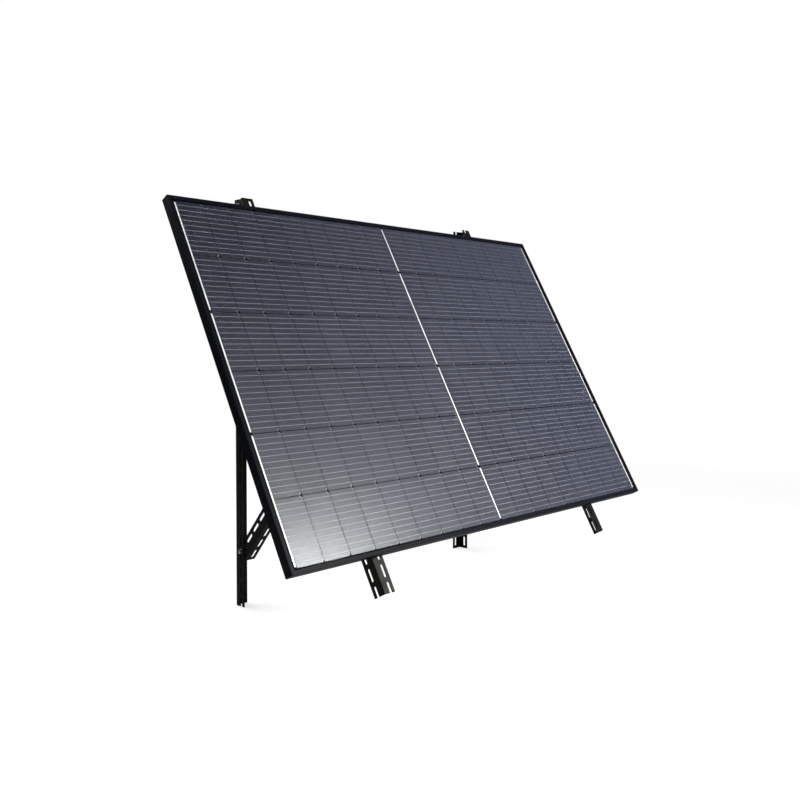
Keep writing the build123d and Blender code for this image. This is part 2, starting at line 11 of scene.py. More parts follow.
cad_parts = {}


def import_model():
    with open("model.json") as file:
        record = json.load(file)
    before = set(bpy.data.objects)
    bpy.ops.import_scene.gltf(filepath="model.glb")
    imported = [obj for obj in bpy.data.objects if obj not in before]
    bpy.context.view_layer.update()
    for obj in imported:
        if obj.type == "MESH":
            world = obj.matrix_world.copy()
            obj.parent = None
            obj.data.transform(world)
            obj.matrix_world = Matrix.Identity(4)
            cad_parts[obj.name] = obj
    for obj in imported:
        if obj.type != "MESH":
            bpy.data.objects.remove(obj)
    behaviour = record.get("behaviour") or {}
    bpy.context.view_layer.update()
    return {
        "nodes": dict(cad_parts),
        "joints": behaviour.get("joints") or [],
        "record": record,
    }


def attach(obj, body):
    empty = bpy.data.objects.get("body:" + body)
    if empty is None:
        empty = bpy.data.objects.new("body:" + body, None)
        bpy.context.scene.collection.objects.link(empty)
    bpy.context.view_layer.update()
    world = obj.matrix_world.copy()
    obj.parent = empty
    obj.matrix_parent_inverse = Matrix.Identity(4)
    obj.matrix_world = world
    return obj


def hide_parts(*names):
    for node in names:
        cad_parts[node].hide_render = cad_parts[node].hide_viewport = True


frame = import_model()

# ---------------------------------------------------------------- sizes, in metres
MM = 0.001
SLOPE = math.radians(61)
WIDTH = 1722 * MM
HEIGHT = 1134 * MM
SIDE_MEMBER = 28 * MM  # the die lines turn this far in from the module's side
PIVOT_UP = 1174 * MM  # up the module from its lower edge to the tilt bolts
PIVOT_DEPTH = 57 * MM  # behind the module's front face

LAMINATE_EDGE = 2.6 * MM
GLASS_BACK = 4.7 * MM
WIRE_FRONT = 5.1 * MM
CELL_BACK = 5.42 * MM
SHEET_FRONT = 5.87 * MM
SHEET_BACK = 6.17 * MM
FILM_INSET = 0.05 * MM  # keeps the clear films off the faces on both sides of them

CELL_WIDTH = 91 * MM
CELL_HEIGHT = 182 * MM
CELL_CORNER = 7.0 * MM
CELL_MARGIN = 0.45 * MM  # bare edge round a cell's coating
COLUMN_PITCH = 92.5 * MM
ROW_PITCH = 184 * MM
ROWS = 6
COLUMNS = 9  # in each half of the module
CENTRE_GAP = 10 * MM
ROW_EDGE = (HEIGHT - (ROWS - 1) * ROW_PITCH - CELL_HEIGHT) / 2
WIRE_PITCH = 17.2 * MM
WIRES_PER_CELL = 10
WIRE_WIDTH = 0.9 * MM
WIRE_INSET = 2.0 * MM  # from a cell's inner edge to the end of its wires
FILM_TO_WIRE = 0.01 * MM
CELL_TO_WIRE = 0.03 * MM  # from a cell's back to the wire that has dipped behind it
DIP_START = 0.2 * MM  # before the cell's outer edge
DIP_END = 1.0 * MM  # past that edge, in the gap
DIP_REACH = 6 * MM  # past that edge, behind the next cell
LEAD_FLAT = 0.6 * MM  # a wire's flat length beside the middle ribbon
LEAD_END = 0.5 * MM  # before the first cell's inner edge, where the lead is down
LEAD_REACH = 5 * MM  # past that edge, behind the first cell
BUS_WIDTH = 4.5 * MM
BUS_X = WIDTH / 2 - 21 * MM
FINGER_PITCH = 1.3 * MM
HIGHLIGHT_INSET = 1.5 * MM  # from a clipped corner to its painted highlight line
HIGHLIGHT_HALF = 0.9 * MM
EDGE_FADE = 0.1 * MM

BOX_WIDTH = 84 * MM
BOX_HEIGHT = 50 * MM
BOX_CORNER = 5 * MM
BEAD_WIDTH = 3.2 * MM
BEAD_HEIGHT = 2.2 * MM
BEAD_SWELL = 0.16  # how unevenly it was squeezed out
CORNER_STEPS = 6
# The bead's cross section, outward from the box and off the sheet, as shares of width and height.
BEAD_PROFILE = ((-0.3, 0.0), (1.0, 0.0), (0.86, 0.45), (0.5, 0.85), (0.12, 1.0), (-0.3, 1.0))

BOLT_RADIUS = 3.95 * MM
THREAD_DEPTH = 0.62 * MM
THREAD_PITCH = 1.25 * MM
THREAD_START = 0.8 * MM  # the chamfer at a bolt's end
HEX_RADIUS = 6.5 * MM  # from the axis to a flat
HEX_CONE = 0.965 * HEX_RADIUS  # where the cone that cuts the corners meets the end face
HEX_POINTS = 48
CONE_ANGLE = math.radians(30)
HEAD_HEIGHT = 5.3 * MM
HEAD_RELIEF = 0.25 * MM  # under the head's corners
HEAD_DISH = 0.35 * MM
NUT_CHAMFER = 0.5 * MM  # at both ends of its bore
WASHER_RADIUS = 8 * MM
WASHER_BORE = 4.3 * MM
WASHER_EDGE = 0.3 * MM

FLOOR_RADIUS = 4.0
FLOOR_GLOW = 0.72
FLOOR_DROP = 1 * MM  # below the posts' ends
SOFTBOX_AWAY = 3.0  # from the module's lower left corner

ACROSS = Vector((1, 0, 0))
UP = Vector((0, math.cos(SLOPE), math.sin(SLOPE)))
OUT = Vector((0, -math.sin(SLOPE), math.cos(SLOPE)))
PIVOT = Vector(next(j for j in frame["joints"] if j["name"] == "module_tilt")["pos_m"])
CORNER = PIVOT - UP * PIVOT_UP + OUT * PIVOT_DEPTH


def in_module(x, up, depth):
    """The point at x, that far up the module and that deep behind its front face."""
    return CORNER + ACROSS * x + UP * up - OUT * depth


# ================================================================ material helpers
class Tree:
    """One material and short ways to add and join its nodes."""

    def __init__(self, name, **sockets):
        self.material = bpy.data.materials.new(name)
        self.material.use_nodes = True
        self.nodes = self.material.node_tree.nodes
        self.links = self.material.node_tree.links
        self.shader = self.nodes["Principled BSDF"]
        self.output = self.nodes["Material Output"]
        for socket, value in sockets.items():
            self.set(self.shader, socket.replace("_", " "), value)

    def set(self, node, socket, value):
        target = node.inputs[socket]
        if isinstance(value, bpy.types.NodeSocket):
            self.links.new(value, target)
        else:
            target.default_value = value

    def add(self, kind, sockets=None, **settings):
        node = self.nodes.new(kind)
        for name, value in settings.items():
            setattr(node, name, value)
        for socket, value in (sockets or {}).items():
            self.set(node, socket, value)
        return node

    def maths(self, operation, first, second=0.0):
        return self.add("ShaderNodeMath", {0: first, 1: second}, operation=operation).outputs[0]

    def place(self):
        return self.add("ShaderNodeTexCoord").outputs["Object"]

    def module_place(self):
        """A place as x, the distance up the module and the height out of its front face."""
        sockets = {"Vector": self.place(), "Location": CORNER, "Rotation": (SLOPE, 0, 0)}
        return self.add("ShaderNodeMapping", sockets, vector_type="TEXTURE").outputs[0]

    def x_and_up(self, where):
        parts = self.add("ShaderNodeSeparateXYZ", {0: where}).outputs
        return parts[0], parts[1]

    def noise(self, scale, detail=3.0, roughness=0.5, where=None, stretch=(1, 1, 1)):
        spot = self.place() if where is None else where
        if stretch != (1, 1, 1):
            spot = self.add("ShaderNodeMapping", {"Vector": spot, "Scale": stretch}).outputs[0]
        sockets = {"Vector": spot, "Scale": scale, "Detail": detail, "Roughness": roughness}
        return self.add("ShaderNodeTexNoise", sockets).outputs["Fac"]

    def remap(self, value, low, high, to_low=0.0, to_high=1.0):
        sockets = {"Value": value, "From Min": low, "From Max": high}
        sockets.update({"To Min": to_low, "To Max": to_high})
        return self.add("ShaderNodeMapRange", sockets).outputs[0]

    def blend(self, share, first, second):
        """Between two plain numbers."""
        return self.add("ShaderNodeMix", {0: share, 2: first, 3: second}).outputs[0]

    def mix(self, share, first, second):
        """Between two colours."""
        node = self.add("ShaderNodeMix", data_type="RGBA")
        for index, value in ((0, share), (6, first), (7, second)):
            if isinstance(value, tuple):
                value = (*value, 1.0)
            self.set(node, index, value)
        return node.outputs[2]

    def bump(self, height, strength, distance, under=None):
        sockets = {"Height": height, "Strength": strength, "Distance": distance}
        if under is not None:
            sockets["Normal"] = under
        return self.add("ShaderNodeBump", sockets).outputs[0]

    def near(self, value, centre, half_width, softness):
        """1 where value is within half_width of centre, fading to 0 over softness."""
        off = self.maths("ABSOLUTE", self.maths("SUBTRACT", value, centre))
        return self.remap(off, half_width, half_width + softness, 1.0, 0.0)

    def colour(self, value):
        self.set(self.shader, "Base Color", (*value, 1.0) if isinstance(value, tuple) else value)

    def rough(self, value):
        self.set(self.shader, "Roughness", value)

    def normal(self, value):
        self.set(self.shader, "Normal", value)


# ================================================================ materials
def powder_coat():
    """Black powder coat: orange peel, faint dust and a few rubbed streaks."""
    tree = Tree("black_powder_coat", Specular_IOR_Level=0.1)
    dust = tree.noise(14, detail=6, roughness=0.6)
    dusty = tree.remap(dust, 0.35, 0.7)
    tone = tree.mix(dusty, (0.0074, 0.0069, 0.0060), (0.0138, 0.0130, 0.0112))
    streaks = tree.noise(60, detail=4, roughness=0.7, stretch=(1.0, 1.0, 0.06))
    rubbed = tree.remap(streaks, 0.66, 0.74)
    tree.colour(tree.mix(rubbed, tone, (0.030, 0.029, 0.027)))
    tree.rough(tree.remap(tree.noise(45, detail=4), 0.3, 0.7, 0.34, 0.5))
    peel = tree.noise(750, detail=2, roughness=0.4)
    waves = tree.noise(120, detail=1)
    tree.normal(tree.bump(peel, 0.22, 0.25 * MM, tree.bump(waves, 0.1, 0.8 * MM)))
    return tree.material


def anodised():
    """Black anodised extrusion: die lines along each member and soft mottling."""
    tree = Tree("black_anodised_frame", Specular_IOR_Level=0.05)
    mapped = tree.module_place()
    x, _ = tree.x_and_up(mapped)
    along_x = tree.noise(420, detail=3, where=mapped, stretch=(0.008, 1, 1))
    along_up = tree.noise(420, detail=3, where=mapped, stretch=(1, 0.008, 1))
    turn = WIDTH / 2 - SIDE_MEMBER
    side = tree.remap(tree.maths("ABSOLUTE", x), turn - 1 * MM, turn + 1 * MM)
    lines = tree.blend(side, along_x, along_up)
    cloud = tree.noise(9, detail=5, roughness=0.6, where=mapped)
    cloudy = tree.remap(cloud, 0.3, 0.7)
    tone = tree.mix(cloudy, (0.0050, 0.0060, 0.0092), (0.0088, 0.0105, 0.0155))
    tree.colour(tree.mix(tree.remap(lines, 0.6, 0.85, 0.0, 0.5), tone, (0.014, 0.015, 0.018)))
    grain = tree.noise(900, detail=2, where=mapped)
    rough = tree.remap(lines, 0.25, 0.75, 0.36, 0.5)
    tree.rough(tree.maths("ADD", rough, tree.remap(grain, 0.3, 0.7, -0.03, 0.04)))
    tree.normal(tree.bump(lines, 0.12, 0.06 * MM, tree.bump(grain, 0.12, 0.05 * MM)))
    return tree.material


def silicon():
    """Half-cut cells: blue-black silicon, printed fingers, a tone of their own and a painted highlight
    along the clipped corners.
    """
    tree = Tree("silicon_cell", IOR=1.75, Specular_Tint=(0.88, 0.925, 1.0, 1.0))
    mapped = tree.module_place()
    x, up = tree.x_and_up(mapped)
    from_middle = tree.maths("SUBTRACT", tree.maths("ABSOLUTE", x), CENTRE_GAP / 2)
    column = tree.maths("DIVIDE", from_middle, COLUMN_PITCH)
    row = tree.maths("DIVIDE", tree.maths("SUBTRACT", up, ROW_EDGE), ROW_PITCH)
    in_column = tree.maths("MULTIPLY", tree.maths("FRACT", column), COLUMN_PITCH)
    in_row = tree.maths("MULTIPLY", tree.maths("FRACT", row), ROW_PITCH)
    sockets = {
        0: tree.maths("FLOOR", column),
        1: tree.maths("FLOOR", row),
        2: tree.maths("SIGN", x),
    }
    own = tree.add("ShaderNodeCombineXYZ", sockets).outputs[0]
    chance = tree.add("ShaderNodeTexWhiteNoise", {"Vector": own}, noise_dimensions="3D").outputs["Value"]
    cloud = tree.remap(tree.noise(30, detail=4, where=mapped), 0.3, 0.7, 0, 0.45)
    shade = tree.maths("ADD", tree.maths("MULTIPLY", chance, 0.55), cloud)
    tone = tree.mix(shade, (0.0026, 0.0034, 0.0088), (0.0050, 0.0058, 0.0130))

    finger = tree.maths("FRACT", tree.maths("DIVIDE", in_column, FINGER_PITCH))
    finger = tree.near(finger, 0.5, 0.03, 0.04)
    tone = tree.mix(tree.maths("MULTIPLY", finger, 0.4), tone, (0.11, 0.12, 0.14))

    # A pale line, a painted highlight standing in for the light on the cell's edge, runs along the two
    # clipped corners, which are at a cell's right side.
    from_end = tree.maths("MINIMUM", in_row, tree.maths("SUBTRACT", CELL_HEIGHT, in_row))
    leftward = tree.maths("LESS_THAN", x, 0.0)
    across = tree.blend(leftward, in_column, tree.maths("SUBTRACT", CELL_WIDTH, in_column))
    from_right = tree.maths("SUBTRACT", CELL_WIDTH, across)
    from_corner = tree.maths("ADD", from_right, from_end)
    corner_highlight = tree.near(from_corner, CELL_CORNER + HIGHLIGHT_INSET, HIGHLIGHT_HALF, 0.3 * MM)
    # Painted highlight: the line along the clipped corners is lightened towards pale grey.
    tone = tree.mix(tree.maths("MULTIPLY", corner_highlight, 0.9), tone, (0.30, 0.31, 0.33))

    # The coating stops short of the edge, which is dark and rough.
    coated_across = tree.near(in_column, CELL_WIDTH / 2, CELL_WIDTH / 2 - CELL_MARGIN, EDGE_FADE)
    coated_up = tree.near(in_row, CELL_HEIGHT / 2, CELL_HEIGHT / 2 - CELL_MARGIN, EDGE_FADE)
    bare = tree.maths("SUBTRACT", 1.0, tree.maths("MULTIPLY", coated_across, coated_up))
    tree.colour(tree.mix(bare, tone, (0.004, 0.0045, 0.006)))
    tree.rough(tree.blend(bare, tree.remap(chance, 0, 1, 0.28, 0.305), 0.8))
    ripple = tree.noise(160, detail=2, where=mapped)
    tree.normal(tree.bump(ripple, 0.05, 0.2 * MM))
    return tree.material


def tinned(name, bright, metallic, rough_low, rough_high):
    """Tinned copper: soft grain along the strip and duller solder patches."""
    tree = Tree(name, Metallic=metallic)
    mapped = tree.module_place()
    grain = tree.noise(500, detail=3, where=mapped)
    patches = tree.noise(28, detail=3, where=mapped)
    dull = tuple(level * 0.82 for level in bright)
    tree.colour(tree.mix(tree.remap(patches, 0.4, 0.65), bright, dull))
    tree.rough(tree.remap(grain, 0.3, 0.7, rough_low, rough_high))
    tree.normal(tree.bump(grain, 0.15, 0.05 * MM))
    return tree.material


def glass():
    """Tempered solar glass with a coat against glare. Lamps reach what is behind it."""
    tree = Tree("solar_glass", IOR=1.13, Transmission_Weight=1.0)
    mapped = tree.module_place()
    tree.colour((0.985, 0.993, 0.99))
    smears = tree.noise(5, detail=6, roughness=0.65, where=mapped)
    tree.rough(tree.remap(smears, 0.45, 0.8, 0.035, 0.09))
    clear = tree.add("ShaderNodeBsdfTransparent", {"Color": (0.96, 0.97, 0.97, 1.0)})
    lamps = tree.add("ShaderNodeLightPath").outputs["Is Shadow Ray"]
    shaders = {0: lamps, 1: tree.shader.outputs[0], 2: clear.outputs[0]}
    both = tree.add("ShaderNodeMixShader", shaders)
    tree.set(tree.output, "Surface", both.outputs[0])
    return tree.material


def clear_film():
    """Cured encapsulant, all but invisible."""
    tree = Tree("clear_encapsulant", Alpha=0.01, IOR=1.05)
    haze = tree.noise(40, detail=4)
    tree.colour(tree.mix(haze, (0.04, 0.042, 0.043), (0.06, 0.062, 0.062)))
    tree.rough(tree.remap(haze, 0.3, 0.7, 0.25, 0.4))
    return tree.material


def backsheet():
    """Black laminated film: a fine matt grain, darker and slightly sunken along the gaps between the cells.
    """
    tree = Tree("backsheet", Specular_IOR_Level=0.12)
    mapped = tree.module_place()
    x, up = tree.x_and_up(mapped)
    from_middle = tree.maths("SUBTRACT", tree.maths("ABSOLUTE", x), CENTRE_GAP / 2)
    from_edge = tree.maths("SUBTRACT", up, ROW_EDGE)
    in_column = tree.maths("FRACT", tree.maths("DIVIDE", from_middle, COLUMN_PITCH))
    in_row = tree.maths("FRACT", tree.maths("DIVIDE", from_edge, ROW_PITCH))
    column_gap = tree.near(in_column, CELL_WIDTH / COLUMN_PITCH, 0.012, 0.03)
    row_gap = tree.near(in_row, CELL_HEIGHT / ROW_PITCH, 0.006, 0.015)
    gaps = tree.maths("MAXIMUM", column_gap, row_gap)
    cloud = tree.noise(7, detail=5, where=mapped)
    cloudy = tree.remap(cloud, 0.3, 0.7)
    tone = tree.mix(cloudy, (0.0085, 0.0087, 0.0095), (0.0130, 0.0133, 0.0143))
    tree.colour(tree.mix(tree.maths("MULTIPLY", gaps, 0.4), tone, (0.006, 0.006, 0.0065)))
    grain = tree.noise(1400, detail=2, where=mapped)
    ripples = tree.noise(22, detail=2, where=mapped)
    tree.rough(tree.remap(grain, 0.3, 0.7, 0.6, 0.75))
    soft = tree.bump(ripples, 0.12, 0.8 * MM, tree.bump(gaps, 0.35, -0.15 * MM))
    tree.normal(tree.bump(grain, 0.15, 0.05 * MM, soft))
    return tree.material


def moulded(name, dark, light, grain_scale):
    """Moulded plastic or sealant with a spark-eroded grain."""
    tree = Tree(name, Specular_IOR_Level=0.4)
    cloud = tree.noise(25, detail=4)
    tree.colour(tree.mix(tree.remap(cloud, 0.3, 0.7), dark, light))
    grain = tree.noise(grain_scale, detail=2)
    tree.rough(tree.remap(cloud, 0.3, 0.7, 0.45, 0.6))
    tree.normal(tree.bump(grain, 0.3, 0.08 * MM))
    return tree.material


def metal(name, bright, dull, rough_low, rough_high):
    """Plated or bare metal: cloudy plating, fine grain and darker patches."""
    tree = Tree(name, Metallic=1.0)
    cloud = tree.noise(160, detail=5, roughness=0.6)
    tree.colour(tree.mix(tree.remap(cloud, 0.35, 0.7), bright, dull))
    grain = tree.noise(380, detail=3)
    tree.rough(tree.remap(grain, 0.3, 0.7, rough_low, rough_high))
    tree.normal(tree.bump(grain, 0.12, 0.05 * MM))
    return tree.material


MATERIALS = {
    "black_powder_coat": powder_coat(),
    "black_anodised_frame": anodised(),
    "silicon_cell": silicon(),
    "tinned_wire": tinned("tinned_wire", (0.345, 0.365, 0.42), 0.1, 0.5, 0.65),
    "tinned_ribbon": tinned("tinned_ribbon", (0.86, 0.87, 0.88), 0.2, 0.34, 0.5),
    "solar_glass": glass(),
    "clear_encapsulant": clear_film(),
    "backsheet": backsheet(),
    "black_silicone": moulded("black_silicone", (0.010, 0.010, 0.0105), (0.016, 0.016, 0.017), 900),
    "black_box_plastic": moulded("black_box_plastic", (0.012, 0.012, 0.0125), (0.018, 0.018, 0.019), 2200),
    "diode_body": moulded("diode_body", (0.018, 0.018, 0.018), (0.028, 0.028, 0.028), 1500),
    "bare_aluminium": metal("bare_aluminium", (0.75, 0.76, 0.78), (0.6, 0.61, 0.63), 0.3, 0.45),
    "terminal_metal": metal("terminal_metal", (0.78, 0.68, 0.42), (0.62, 0.53, 0.33), 0.25, 0.4),
    "zinc_plated": metal("zinc_plated", (0.40, 0.41, 0.42), (0.26, 0.265, 0.265), 0.34, 0.5),
}


def paint(piece, slot):
    """Gives a piece the one material of that slot."""
    piece.data.materials.clear()
    piece.data.materials.append(MATERIALS[slot])


# ================================================================ CAD nodes
SLOT_OF = {part["node"]: part["material_slot"] for part in frame["record"]["subparts"]}
SHARP_ANGLE = math.radians(35)
ROUNDED = {
    "black_powder_coat": 0.35 * MM,
    "black_anodised_frame": 0.25 * MM,
    "black_box_plastic": 0.25 * MM,
}


def round_edges(piece, radius):
    """Joins the faces of a CAD mesh and rounds its sharp edges a little, by modifiers alone."""
    weld = piece.modifiers.new("weld", "WELD")
    weld.merge_threshold = 0.005 * MM
    bevel = piece.modifiers.new("bevel", "BEVEL")
    bevel.width = radius
    bevel.segments = 2
    bevel.limit_method = "ANGLE"
    bevel.angle_limit = SHARP_ANGLE


for node, piece in frame["nodes"].items():
    paint(piece, SLOT_OF[node])
    if SLOT_OF[node] in ROUNDED:
        round_edges(piece, ROUNDED[SLOT_OF[node]])


# ================================================================ mesh helpers
def build(name, vertices, faces, slot, body, stands_for=()):
    """A new piece from points in the shared frame, painted and riding on its body."""
    mesh = bpy.data.meshes.new(name)
    mesh.from_pydata([tuple(point) for point in vertices], [], faces)
    mesh.validate()
    turned = bmesh.new()
    turned.from_mesh(mesh)
    bmesh.ops.recalc_face_normals(turned, faces=turned.faces)
    turned.to_mesh(mesh)
    turned.free()
    piece = bpy.data.objects.new(name, mesh)
    bpy.context.scene.collection.objects.link(piece)
    mesh.shade_smooth()
    mesh.set_sharp_from_angle(angle=SHARP_ANGLE)
    paint(piece, slot)
    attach(piece, body)
    if stands_for:
        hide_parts(*stands_for)
    return piece


class Solid:
    """Collects rings of points in a local frame, with faces between them."""

    def __init__(self):
        self.points = []
        self.faces = []

    def ring(self, points):
        start = len(self.points)
        self.points += points
        return list(range(start, start + len(points)))

    def join(self, first, second):
        count = len(first)
        for index in range(count):
            following = (index + 1) % count
            self.faces.append((first[index], first[following], second[following], second[index]))

    def tube(self, rings, closed):
        for first, second in zip(rings, rings[1:]):
            self.join(first, second)
        if closed:
            self.join(rings[-1], rings[0])

    def cap(self, ring, flip=False):
        self.faces.append(tuple(reversed(ring)) if flip else tuple(ring))

    def moved(self, origin, axis, side):
        """The points with local z along axis and local x along side, from origin."""
        matrix = Matrix((side, axis.cross(side), axis)).transposed()
        return [origin + matrix @ Vector(point) for point in self.points]


def circle(radius, height):
    turns = [2 * math.pi * index / HEX_POINTS for index in range(HEX_POINTS)]
    return [(radius * math.cos(turn), radius * math.sin(turn), height) for turn in turns]


def hex_reach(turn):
    """From the axis to a hexagon's side, in that direction."""
    within = turn % (math.pi / 3) - math.pi / 6
    return HEX_RADIUS / math.cos(within)


def hex_ring(height, cone=0):
    """A ring on the hexagon's sides, level, or following the cone that cuts the corners at an end face.

    height is then that face's, and cone is 1 where the cone goes down from it and -1 where it goes up.
    """
    points = []
    for index in range(HEX_POINTS):
        turn = 2 * math.pi * index / HEX_POINTS
        reach = hex_reach(turn)
        z = height - cone * (reach - HEX_CONE) * math.tan(CONE_ANGLE)
        points.append((reach * math.cos(turn), reach * math.sin(turn), z))
    return points


def head_solid(solid, seat):
    """A hexagon head from its seat up, with the corners cut by a cone and a slightly dished top."""
    top = seat + HEAD_HEIGHT
    rings = [
        solid.ring(circle(0.93 * HEX_RADIUS, seat)),
        solid.ring(hex_ring(seat + HEAD_RELIEF)),
        solid.ring(hex_ring(top, cone=1)),
        solid.ring(circle(HEX_CONE, top)),
        solid.ring(circle(0.62 * HEX_RADIUS, top)),
        solid.ring(circle(0.55 * HEX_RADIUS, top - HEAD_DISH)),
    ]
    solid.tube(rings, closed=False)
    solid.cap(rings[0], flip=True)
    solid.cap(rings[-1])


def thread_solid(solid, low, high, chamfered=True):
    """A threaded shank between two heights. A helical wave on its radius is the thread."""
    around = 24
    per_pitch = 6
    steps = max(2, round((high - low) / THREAD_PITCH * per_pitch))
    rings = []
    for step in range(steps + 1):
        z = low + (high - low) * step / steps
        points = []
        for index in range(around):
            turn = 2 * math.pi * index / around
            wave = abs(((z / THREAD_PITCH - index / around) % 1.0) * 2 - 1)
            sunk = min(1.0, max(0.0, 1.25 * wave - 0.1))  # flat crests and roots, sloping flanks
            radius = BOLT_RADIUS - THREAD_DEPTH * sunk
            if chamfered:
                radius = min(radius, BOLT_RADIUS - THREAD_START + (z - low))
            points.append((radius * math.cos(turn), radius * math.sin(turn), z))
        rings.append(solid.ring(points))
    solid.tube(rings, closed=False)
    solid.cap(rings[0], flip=True)
    solid.cap(rings[-1])


def nut_solid(solid, low, high):
    """A hexagon nut with coned corners at both ends and a chamfered bore."""
    bore = BOLT_RADIUS + 0.1 * MM
    rings = [
        solid.ring(circle(bore + NUT_CHAMFER, low)),
        solid.ring(circle(HEX_CONE, low)),
        solid.ring(hex_ring(low, cone=-1)),
        solid.ring(hex_ring(high, cone=1)),
        solid.ring(circle(HEX_CONE, high)),
        solid.ring(circle(bore + NUT_CHAMFER, high)),
        solid.ring(circle(bore, high - NUT_CHAMFER)),
        solid.ring(circle(bore, low + NUT_CHAMFER)),
    ]
    solid.tube(rings, closed=True)


def washer_solid(solid, low, high):
    """A washer or spacer whose edges are rounded by stamping."""
    rings = [
        solid.ring(circle(WASHER_BORE + WASHER_EDGE, low)),
        solid.ring(circle(WASHER_RADIUS - WASHER_EDGE, low)),
        solid.ring(circle(WASHER_RADIUS, low + WASHER_EDGE)),
        solid.ring(circle(WASHER_RADIUS, high - WASHER_EDGE)),
        solid.ring(circle(WASHER_RADIUS - WASHER_EDGE, high)),
        solid.ring(circle(WASHER_BORE + WASHER_EDGE, high)),
        solid.ring(circle(WASHER_BORE, high - WASHER_EDGE)),
        solid.ring(circle(WASHER_BORE, low + WASHER_EDGE)),
    ]
    solid.tube(rings, closed=True)


# ================================================================ fasteners
def loose_solids(node):
    """The points of each separate solid of a CAD node, found by growing over shared edges."""
    same_place = 0.01 * MM
    mesh = frame["nodes"][node].data
    points = np.array([vertex.co for vertex in mesh.vertices])
    keys = [tuple(np.round(point / same_place).astype(int)) for point in points]
    leader = list(range(len(points)))

    def find(index):
        while leader[index] != index:
            leader[index] = leader[leader[index]]
            index = leader[index]
        return index

    first_at = {}
    for index, key in enumerate(keys):
        leader[find(index)] = find(first_at.setdefault(key, index))
    for edge in mesh.edges:
        leader[find(edge.vertices[0])] = find(edge.vertices[1])
    groups = {}
    for index in range(len(points)):
        groups.setdefault(find(index), []).append(index)
    solids = [points[members] for members in groups.values()]
    return sorted(solids, key=lambda solid: tuple(np.round(solid.mean(0), 4)))


def along(points, axis):
    """Where a solid's points start and end along an axis, and the point of the axis line at zero."""
    direction = np.array(axis)
    heights = points @ direction
    middle = (points.min(0) + points.max(0)) / 2
    return heights.min(), heights.max(), Vector(middle - direction * (middle @ direction))


def fasten(node, body, axis_of, make):
    """Replaces a node of fasteners by detailed ones, each on its own axis."""
    vertices, faces = [], []
    for points in loose_solids(node):
        axis = axis_of(points)
        low, high, line = along(points, axis)
        solid = Solid()
        make(solid, low, high, points)
        start = len(vertices)
        side = Vector((0, 1, 0)) if abs(axis.x) > 0.5 else ACROSS
        vertices += solid.moved(line, axis, side)
        faces += [tuple(start + index for index in face) for face in solid.faces]
    build(f"{node}_detailed", vertices, faces, SLOT_OF[node], body, [node])


def outward(points):
    """The X direction that points away from the middle."""
    return ACROSS * math.copysign(1, points[:, 0].mean())


def make_bolt(solid, low, high, points):
    head_solid(solid, high - HEAD_HEIGHT)
    thread_solid(solid, low, high - HEAD_HEIGHT)


def make_foot_bolt(solid, low, high, points):
    """The head's own piece ends short of the post, and the threaded end is a piece by itself."""
    wide = np.ptp(points[:, 1]) > 2.5 * BOLT_RADIUS
    if wide:
        head_solid(solid, high - HEAD_HEIGHT)
        thread_solid(solid, low, high - HEAD_HEIGHT, chamfered=False)
    else:
        thread_solid(solid, low, high)


def make_nut(solid, low, high, points):
    nut_solid(solid, low, high)


def make_washer(solid, low, high, points):
    washer_solid(solid, low, high)


for node, body, axis_of, make in (
    ("tilt_bolts", "posts", outward, make_bolt),
    ("tilt_nuts", "posts", outward, make_nut),
    ("tilt_washers", "posts", outward, make_washer),
    ("strut_pivot_bolts", "module", outward, make_bolt),
    ("strut_pivot_nuts", "module", outward, make_nut),
    ("strut_pivot_washers", "module", outward, make_washer),
    ("strut_pivot_spacers", "module", outward, make_washer),
    ("module_bolts", "module", lambda points: OUT, make_bolt),
    ("module_nuts", "module", lambda points: OUT, make_nut),
    ("module_washers", "module", lambda points: OUT, make_washer),
    ("foot_bolt_left", "brace_left", outward, make_foot_bolt),
    ("foot_bolt_right", "brace_right", outward, make_foot_bolt),
    ("foot_nut_left", "brace_left", outward, make_nut),
    ("foot_nut_right", "brace_right", outward, make_nut),
    ("foot_washers_left", "brace_left", outward, make_washer),
    ("foot_washers_right", "brace_right", outward, make_washer),
):
    fasten(node, body, axis_of, make)


# ================================================================ clear films and box sealant
def film(name, node, front, back):
    """A clear film, a hair inside the faces that it is bonded to."""
    half = WIDTH / 2 - LAMINATE_EDGE
    top = HEIGHT - LAMINATE_EDGE
    soft = 1.0 * MM
    vertices = []
    for depth in (front + FILM_INSET, back - FILM_INSET):
        for x, up in (
            (-half, LAMINATE_EDGE + soft), (-half + soft, LAMINATE_EDGE),
            (half - soft, LAMINATE_EDGE), (half, LAMINATE_EDGE + soft),
            (half, top - soft), (half - soft, top),
            (-half + soft, top), (-half, top - soft),
        ):
            vertices.append(in_module(x, up, depth))
    faces = [tuple(range(8)), tuple(reversed(range(8, 16)))]
    faces += [(index, index + 8, (index + 1) % 8 + 8, (index + 1) % 8) for index in range(8)]
    build(name, vertices, faces, "clear_encapsulant", "module", [node])


def wire_run(vertices, faces, stations):
    """A soft-edged flat wire through points of x, distance up the module and depth of its front."""
    start = len(vertices)
    profile = ((-0.5, 0.12), (-0.4, 0.03), (-0.2, 0.0), (0.2, 0.0), (0.4, 0.03), (0.5, 0.12))
    for x, up, depth in stations:
        for aside, sunk in profile:
            vertices.append(in_module(x, up + aside * WIRE_WIDTH, depth + sunk * MM))
    count = len(profile)
    last = start + (len(stations) - 1) * count
    for base in range(start, last, count):
        beyond = base + count
        for index in range(count):
            following = (index + 1) % count
            faces.append((base + index, base + following, beyond + following, beyond + index))
    faces.append(tuple(range(start, start + count)))
    faces.append(tuple(reversed(range(last, last + count))))


